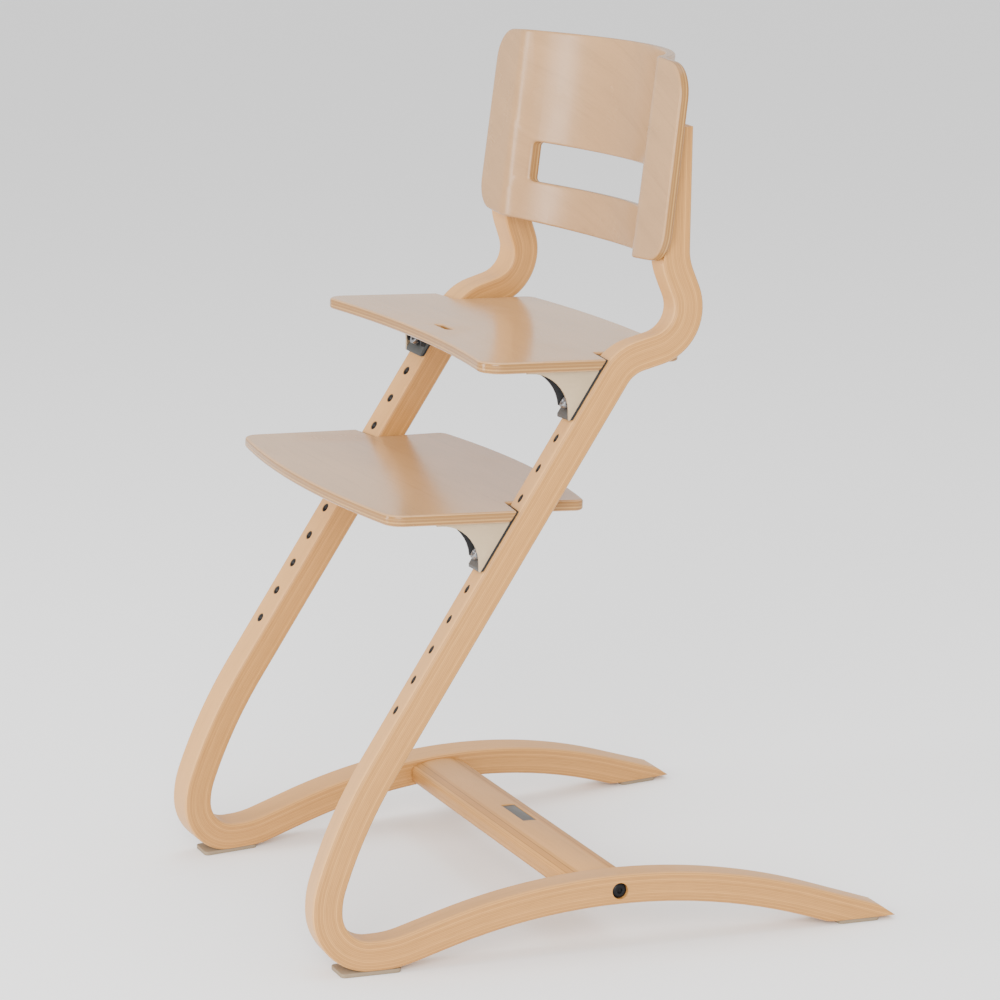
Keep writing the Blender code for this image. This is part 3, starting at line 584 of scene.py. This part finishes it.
def map_wood(made, locate):
    """Write the two UV maps: locate turns an array of points into (along, across, depth)."""
    mesh = made.data
    flat = np.empty(len(mesh.vertices) * 3)
    mesh.vertices.foreach_get("co", flat)
    points = flat.reshape(-1, 3) - np.array(OFFSET)
    along, over, depth = locate(points)
    corner = np.empty(len(mesh.loops), dtype=np.int32)
    mesh.loops.foreach_get("vertex_index", corner)
    for name, pair in (("grain", (along, over)), ("depth", (depth, depth))):
        layer = mesh.uv_layers.get(name) or mesh.uv_layers.new(name=name)
        values = np.stack([pair[0][corner], pair[1][corner]], axis=1).astype(np.float32)
        layer.uv.foreach_set("vector", values.ravel())


def finish_piece(made, body, slot, *nodes):
    """Tell the frame which body a piece rides on and hide the CAD nodes it stands for; slot is not used."""
    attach(made, body)
    if nodes:
        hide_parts(*nodes)
    return made


# -------------------------------------------------------------- side frames

def frame_section():
    """Rounded rectangle of the bent wood: (offset in the plane, offset across it)."""
    half_depth = FRAME_DEPTH / 2 - FRAME_ROUND
    half_width = FRAME_WIDTH / 2 - FRAME_ROUND
    points = []
    for a, b, start in ((1, 1, 0), (-1, 1, 90), (-1, -1, 180), (1, -1, 270)):
        points += arc((a * half_depth, b * half_width), FRAME_ROUND, start, start + 90, 6)
    return points


def frame_locator(side):
    """Distance along the bent centre line, outward offset and place in the stack of veneers."""
    line = frame_line()
    ends = np.array([(y, z) for y, z, _ in line])
    steps = np.diff(ends, axis=0)
    lengths = np.linalg.norm(steps, axis=1)
    starts = np.concatenate([[0.0], np.cumsum(lengths)])[:-1]
    units = steps / lengths[:, None]
    normal = np.array(across(side))
    middle = np.array((side * LEG_X, LEG_Y, LEG_Z))

    def locate(points):
        w = (points - middle) @ normal
        flat = (points - w[:, None] * normal)[:, 1:]
        offset = flat[:, None, :] - ends[None, :-1, :]
        t = np.clip((offset * units).sum(2), 0.0, lengths)
        gap = offset - t[:, :, None] * units
        distance = np.linalg.norm(gap, axis=2)
        best = distance.argmin(1)
        rows = np.arange(len(points))
        sign = units[best, 0] * offset[rows, best, 1] - units[best, 1] * offset[rows, best, 0]
        return starts[best] + t[rows, best] + 3.0 * (side < 0), w, distance[rows, best] * np.sign(sign)
    return locate


def tip_outline():
    """Wedge that slopes the top of the rear tip, in the plane of the frame."""
    along = Vector((math.cos(TIP_SLOPE), -math.sin(TIP_SLOPE)))
    above = Vector((math.sin(TIP_SLOPE), math.cos(TIP_SLOPE)))
    start = Vector((TIP_Y, TIP_Z)) - along * 0.010
    end = start + along * 0.060
    return [tuple(start), tuple(end), tuple(end + above * 0.050), tuple(start + above * 0.050)]


def side_frame(name, side):
    """Bent strip swept along the frame's centre line, with its cuts and holes."""
    place = in_frame(side)
    section = frame_section()
    bm = bmesh.new()
    rings = []
    for y, z, heading in frame_line():
        ring = []
        for a, b in section:
            ring.append(bm.verts.new(place(y - a * math.sin(heading), z + a * math.cos(heading), b)))
        rings.append(ring)
    bm.faces.new(rings[0])
    bm.faces.new(rings[-1][::-1])
    for first, second in zip(rings, rings[1:]):
        for i in range(len(section)):
            j = (i + 1) % len(section)
            bm.faces.new((first[i], first[j], second[j], second[i]))
    bmesh.ops.recalc_face_normals(bm, faces=bm.faces)
    keep_side(bm, (0, 0, PAD_HEIGHT + GAP), (0, 0, -1))
    keep_side(bm, (0, 0, FRAME_TOP_Z), (0, 0, 1))
    made = make_object(name + "_frame_wood", bm, "beech")

    flat = bmesh.new()
    prism(flat, [(-0.3, 0.0), (0.3, 0.0), (0.3, 0.2), (-0.3, 0.2)], back_point, -0.05, GAP)
    cut(made, flat)
    tip = bmesh.new()
    prism(tip, tip_outline(), place, -0.03, 0.03)
    cut(made, tip)

    holes = bmesh.new()
    into = -forward_normal(side)
    for i in range(HOLE_COUNT):
        mouth = hole_mouth(side, i)
        rod(holes, mouth - into * 0.003, mouth + into * HOLE_LENGTH, HOLE_RADIUS)
    cut(made, holes)

    sockets = bmesh.new()
    middle = in_frame(side)(BAR_BOLT_Y, BAR_BOLT_Z, 0.0)
    out = Vector((side, 0, 0))
    rod(sockets, middle + out * (FRAME_WIDTH / 2 - BAR_HEAD_DEPTH - GAP), middle + out * 0.030,
        BAR_HEAD_RADIUS + GAP)
    for at in BACK_SCREW_AT.values():
        head = back_screw_head(side, at)
        rod(sockets, head - back_normal() * GAP, head + back_normal() * 0.030, BACK_SCREW_HEAD + GAP)
    cut(made, sockets)
    soften(made, EDGE_BREAK)
    map_wood(made, frame_locator(side))
    finish_piece(made, "chair_frame", "beech", name + "_side_frame")


def leg_inserts(name, side):
    """Threaded inserts in the row of holes."""
    into = -forward_normal(side)
    bm = bmesh.new()
    outer = HOLE_RADIUS - 0.0001
    depth = HOLE_LENGTH - 0.0010
    turns = 14
    profile = [(0.0003, outer - 0.0003), (0.0006, outer), (depth, outer), (depth, 0)]
    profile += [(depth - 0.0012, 0)]
    for i in range(turns):
        at = depth - 0.0012 - (depth - 0.0024) * i / turns
        profile.append((at, 0.0030))
        profile.append((at - (depth - 0.0024) / turns / 2, 0.0033))
    profile += [(0.0009, 0.0033), (0.0004, 0.0037), (0.0003, 0.0038)]
    for i in range(HOLE_COUNT):
        revolve(bm, hole_mouth(side, i), into, profile, 28)
    made = make_object("leg_inserts_" + name, bm, "insert", 30)
    finish_piece(made, "chair_frame", "steel")


# -------------------------------------------------------------------- plates

def plate_normal():
    return Vector((0, math.sin(PLATE_TILT), math.cos(PLATE_TILT)))


def on_plate(top, x, y, below=0.0):
    """A point over (x, y) on a plate's top face, moved square to it by the depth below."""
    z = top + math.tan(PLATE_TILT) * (leg_front(top) - y)
    return Vector((x, y, z)) - plate_normal() * below


def plate_outline(height, front, rear):
    """Plan of a plate at a height; its notches slope with the legs."""
    at_leg = leg_front(height) - LEG_CLEAR
    slant = (FRAME_WIDTH / 2 + 0.001) * math.sin(SPLAY) / LEG.z
    front_y, front_curve, front_half, front_radius = front
    rear_y, rear_curve, rear_radius = rear
    count = 6
    half = [(front_half * i / count, front_y + front_curve * (front_half * i / count) ** 2, 0)
            for i in range(count)]
    half.append((front_half, front_y + front_curve * front_half ** 2, front_radius))
    half.append((HALF_AT_LEG, at_leg - slant, NOTCH_CORNER))
    half.append((REAR_HALF_AT_LEG, at_leg + slant, NOTCH_CORNER))
    half.append((REAR_HALF, rear_y + rear_curve * REAR_HALF ** 2, rear_radius))
    for i in reversed(range(count)):
        x = REAR_HALF * i / count
        half.append((x, rear_y + rear_curve * x ** 2, 0))
    mirrored = [(-x, y, r) for x, y, r in reversed(half[1:-1])]
    return rounded_outline(half + mirrored)


def edge_rings(thickness, radius, steps=4):
    """(inset, depth) pairs that round both edges of a board."""
    rings = []
    for i in range(steps + 1):
        angle = math.pi / 2 * i / steps
        rings.append((radius * (1 - math.sin(angle)), radius * (1 - math.cos(angle))))
    return rings + [(amount, thickness - depth) for amount, depth in reversed(rings)]


def board(bm, outline, thickness, radius, place, holes=()):
    """A flat board with rounded edges: outline(depth) is its plan, place(a, b, depth) a point."""
    rings = edge_rings(thickness, radius)
    loops = []
    for plan, inward in [(outline, 1.0)] + [(lambda depth, hole=hole: hole, -1.0) for hole in holes]:
        stack = []
        for amount, depth in rings:
            ring = inset(plan(depth), amount * inward)
            stack.append([bm.verts.new(place(a, b, depth)) for a, b in ring])
        for first, second in zip(stack, stack[1:]):
            for i in range(len(first)):
                j = (i + 1) % len(first)
                bm.faces.new((first[i], first[j], second[j], second[i]))
        loops.append(stack)
    for level in (0, -1):
        edges = []
        for stack in loops:
            ring = stack[level]
            for i in range(len(ring)):
                edges.append(bm.edges.get((ring[i], ring[(i + 1) % len(ring)])))
        bmesh.ops.triangle_fill(bm, use_beauty=True, use_dissolve=not holes, edges=edges)


def plate(name, top, front, rear, slots):
    """A seat or foot board with its wood mapped along its width."""
    bm = bmesh.new()
    board(bm, lambda depth: plate_outline(top - depth, front, rear), PLATE, PLATE_EDGE,
          lambda a, b, below: on_plate(top, a, b, below), slots)
    made = make_object(name + "_board", bm, "plate", 50)
    weighted = made.modifiers.new("normals", "WEIGHTED_NORMAL")
    weighted.keep_sharp = True
    apply_modifiers(made)
    start = np.array(on_plate(top, 0, 0))
    normal = np.array(plate_normal())

    def locate(points):
        below = -(points - start) @ normal
        return points[:, 0] + 10.0 * top, points[:, 1], below - PLATE / 2
    map_wood(made, locate)
    finish_piece(made, name, "ply", name + "_plate")


def strap_slot():
    """Outline of the slot in the seat."""
    x, y, half_length, half_width = STRAP_SLOT
    straight = half_length - half_width
    ends = arc((x + straight, y), half_width, -90, 90, 10)
    ends += arc((x - straight, y), half_width, 90, 270, 10)
    return ends


# ------------------------------------------------------------------ backrest

def back_normal():
    """Points backwards, square to the flanges of the backrest."""
    return Vector((0, math.cos(BACK_LEAN), -math.sin(BACK_LEAN)))


def back_point(x, along, behind):
    """A point from the back of the flanges: across, up the slope, and behind it."""
    up = Vector((0, math.sin(BACK_LEAN), math.cos(BACK_LEAN)))
    return Vector((x, BACK_FOOT_Y, BACK_FOOT_Z)) + up * along + back_normal() * behind


def back_depth(x, grow):
    """Depth of the curved face behind the flange, with a soft bend where they meet."""
    inner = (BACK_BOW_HALF ** 2 + BACK_SAG ** 2) / (2 * BACK_SAG)
    radius = inner + grow
    reach = min(abs(x), radius)
    depth = math.sqrt(radius ** 2 - reach ** 2) - (inner - BACK_SAG) - grow
    if abs(depth) < BACK_BLEND:
        return (depth + BACK_BLEND) ** 2 / (4 * BACK_BLEND)
    return max(depth, 0.0)


def back_surfaces(x):
    """Front and rear of the backrest behind the flanges' back, at x."""
    end = BACK_LOW_HALF + 0.010
    front = back_depth(x, 0) - back_depth(end, 0) - BACK_PLY
    rear = back_depth(x, BACK_PLY) - back_depth(end, BACK_PLY)
    return front, rear


def back_outline():
    """Plan of the flattened backrest, with its crowned edges and rounded corners."""
    count = 6
    top = []
    bottom = []
    for i in range(-count, count + 1):
        share = i / count
        corner = abs(i) == count
        crown = BACK_CROWN * (1 - share * share)
        top.append((-BACK_HIGH_HALF * share, BACK_TOP + crown, BACK_HIGH_CORNER * corner))
        bottom.append((BACK_LOW_HALF * share, BACK_BOTTOM - crown, BACK_LOW_CORNER * corner))
    return rounded_outline(bottom + top, 10)


def backrest():
    """A flat board that is sliced into strips and laid on the curve."""
    slot = box_outline(-SLOT_HALF, SLOT_LOW, SLOT_HALF, SLOT_HIGH, SLOT_CORNER)
    bm = bmesh.new()
    outline = back_outline()
    board(bm, lambda depth: outline, BACK_PLY, BACK_EDGE, lambda a, b, depth: Vector((a, b, depth)), [slot])
    for i in range(1, BACK_STRIPS):
        x = (BACK_LOW_HALF + 0.001) * (2 * i / BACK_STRIPS - 1)
        parts = bm.verts[:] + bm.edges[:] + bm.faces[:]
        bmesh.ops.bisect_plane(bm, geom=parts, dist=1e-7, plane_co=(x, 0, 0), plane_no=(1, 0, 0))
    for vert in bm.verts:
        x, along, depth = vert.co
        front, rear = back_surfaces(x)
        vert.co = back_point(x, along, front + (rear - front) * depth / BACK_PLY)
    bmesh.ops.dissolve_limit(bm, angle_limit=math.radians(0.05), verts=bm.verts, edges=bm.edges)
    made = make_object("backrest_panel", bm, "back", 50)
    start = np.array(back_point(0, 0, 0))
    up = np.array(back_point(0, 1, 0)) - start
    normal = np.array(back_normal())

    def locate(points):
        along = (points - start) @ up
        behind = (points - start) @ normal
        sheets = np.array([back_surfaces(x) for x in points[:, 0]])
        share = (behind - sheets[:, 0]) / (sheets[:, 1] - sheets[:, 0])
        return points[:, 0] + 20.0, along, (share - 0.5) * BACK_PLY
    map_wood(made, locate)
    finish_piece(made, "chair_frame", "ply", "backrest")


def back_screw_point(side, along):
    """Where a backrest screw passes the back of the flange."""
    point = back_point(0, along, 0)
    return Vector((in_frame(side)(point.y + 0.01, point.z, 0).x, point.y, point.z))


def back_screw_head(side, along):
    """Seat of a backrest screw's head, sunk in the upright's rear face."""
    return back_screw_point(side, along) + back_normal() * (UPRIGHT_DEPTH - UPRIGHT_TAPER * along)


# ------------------------------------------------------------------ crossbar

def bar_section():
    """Section of the crossbar: flat below and crowned above."""
    half = BAR_WIDTH / 2
    low = BAR_Z - BAR_THICK / 2
    high = BAR_Z + BAR_THICK / 2
    corners = [(BAR_Y - half, low, BAR_LOW_ROUND), (BAR_Y + half, low, BAR_LOW_ROUND)]
    count = 6
    for i in range(count, -count - 1, -1):
        share = i / count
        radius = BAR_TOP_ROUND if abs(i) == count else 0
        corners.append((BAR_Y + half * share, high - BAR_CROWN * share ** 2, radius))
    return rounded_outline(corners)


def crossbar():
    bm = bmesh.new()
    prism(bm, bar_section(), lambda y, z, x: Vector((x, y, z)), -0.24, 0.24)
    bmesh.ops.recalc_face_normals(bm, faces=bm.faces)
    for side in SIDES.values():
        inner = in_frame(side)(BAR_Y, BAR_Z, -FRAME_WIDTH / 2 - GAP)
        keep_side(bm, inner, across(side))
    made = make_object("crossbar_wood", bm, "bar")
    recess = bmesh.new()
    x, y, half_length, half_width = BADGE
    a = half_length + GAP
    b = half_width + GAP
    face = BAR_Z + BAR_THICK / 2 - BADGE_DEPTH
    prism(recess, box_outline(x - a, y - b, x + a, y + b, BADGE_CORNER), lambda *spot: Vector(spot),
          face - BADGE_THICK - GAP, face + 0.005)
    cut(made, recess)
    soften(made, EDGE_BREAK)

    def locate(points):
        return points[:, 0] + 30.0, points[:, 1] - BAR_Y, points[:, 2] - BAR_Z
    map_wood(made, locate)
    finish_piece(made, "chair_frame", "beech", "crossbar")


# -------------------------------------------------------------- small pieces

def refined(node, body, look, width, segments=2):
    """A copy of a CAD node with its edges broken, which stands for it.  look names the material
    here."""
    made = bpy.data.objects.new(node + "_fine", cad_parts[node].data.copy())
    bpy.context.scene.collection.objects.link(made)
    made.data.materials.clear()
    made.data.materials.append(MATERIALS[look])
    bm = bmesh.new()
    bm.from_mesh(made.data)
    bmesh.ops.remove_doubles(bm, verts=bm.verts, dist=1e-6)
    bmesh.ops.dissolve_limit(bm, angle_limit=math.radians(1), verts=bm.verts, edges=bm.edges)
    bm.to_mesh(made.data)
    bm.free()
    soften(made, width, segments, 35)
    finish_piece(made, body, look, node)


def small_pieces():
    """Metal, rubber and felt pieces, taken from the CAD nodes."""
    for side in SIDES:
        refined("crossbar_bolt_" + side, "chair_frame", "black_steel", 0.0003)
        for level in BACK_SCREW_AT:
            refined("backrest_screw_" + side + "_" + level, "chair_frame", "black_steel", 0.0002)
        for end in ("front", "rear"):
            refined(end + "_pad_" + side, "chair_frame", "pad", 0.0006, 3)
        for body in ("seat", "foot"):
            refined(body + "_bracket_" + side, body, "aluminium", 0.0007, 3)
            refined(body + "_bracket_liner_" + side, body, "black_plastic", 0.0003)
            refined(body + "_bracket_gasket_" + side, body, "black_plastic", 0.0003)
            refined(body + "_bracket_bolt_" + side, body, "steel", 0.0003)
            for end in ("front", "rear"):
                refined(body + "_plate_screw_" + side + "_" + end, body, "steel", 0.0002)
        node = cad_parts["crossbar_insert_" + side]
        node.data.materials.clear()
        node.data.materials.append(MATERIALS["steel"])
    refined("badge_plate", "chair_frame", "badge", 0.0003)


# ------------------------------------------------------ floor, light, camera

def stage():
    """A wide pale floor."""
    bm = bmesh.new()
    bmesh.ops.create_grid(bm, x_segments=2, y_segments=2, size=FLOOR_SIZE)
    mesh = bpy.data.meshes.new("floor")
    bm.to_mesh(mesh)
    bm.free()
    n = Nodes("floor_paint")
    cloud = n.noise(n.place(), scale=0.8, detail=2.0)
    n.set(colour=n.mix(cloud, (0.94, 0.94, 0.94), (0.95, 0.95, 0.95)), roughness=0.85, specular=0.1)
    mesh.materials.append(n.material)
    floor = bpy.data.objects.new("floor", mesh)
    bpy.context.scene.collection.objects.link(floor)


def area_light(name, spot, aim, size, power):
    """A soft rectangular lamp turned towards a point."""
    light = bpy.data.lights.new(name, "AREA")
    light.shape = "RECTANGLE"
    light.size, light.size_y = size
    light.energy = power
    made = bpy.data.objects.new(name, light)
    made.location = spot
    made.rotation_euler = (Vector(aim) - Vector(spot)).to_track_quat("-Z", "Y").to_euler()
    bpy.context.scene.collection.objects.link(made)


def light_room():
    """Even white surroundings, a key lamp, a top lamp and a tall strip that shows in the backrest."""
    world = bpy.data.worlds.new("room")
    bpy.context.scene.world = world
    world.use_nodes = True
    background = world.node_tree.nodes["Background"]
    background.inputs["Color"].default_value = (1.0, 1.0, 1.0, 1.0)
    background.inputs["Strength"].default_value = 1.25
    centre = (0.0, 0.0, 0.4)
    area_light("key", (3.3, -2.0, 1.8), centre, (2.4, 2.4), 240.0)
    area_light("top", (-0.4, 0.4, 3.2), centre, (2.4, 2.4), 40.0)
    area_light("strip", (-0.45, -3.4, 1.1), (0.0, 0.1, 0.75), (0.8, 2.4), 90.0)


def camera():
    """Camera in front of the chair, to its left and a little above it."""
    data = bpy.data.cameras.new("camera")
    data.sensor_width = 36.0
    data.lens = LENS
    data.clip_end = 200.0
    made = bpy.data.objects.new("camera", data)
    made.location = CAMERA_SPOT + OFFSET
    level = math.cos(CAMERA_ELEVATION)
    forward = Vector((-math.sin(CAMERA_AZIMUTH) * level, math.cos(CAMERA_AZIMUTH) * level,
                      -math.sin(CAMERA_ELEVATION)))
    right = Vector((math.cos(CAMERA_AZIMUTH), math.sin(CAMERA_AZIMUTH), 0.0))
    up = right.cross(forward)
    made.rotation_euler = Matrix((right, up, -forward)).transposed().to_euler()
    bpy.context.scene.collection.objects.link(made)
    bpy.context.scene.camera = made


# ---------------------------------------------------------------------- main

for side_name, side_sign in SIDES.items():
    side_frame(side_name, side_sign)
    leg_inserts(side_name, side_sign)
crossbar()
backrest()
plate("seat", SEAT_TOP, SEAT_FRONT, SEAT_REAR, [strap_slot()])
plate("foot", FOOT_TOP, FOOT_FRONT, FOOT_REAR, [])
small_pieces()
stage()
light_room()
camera()
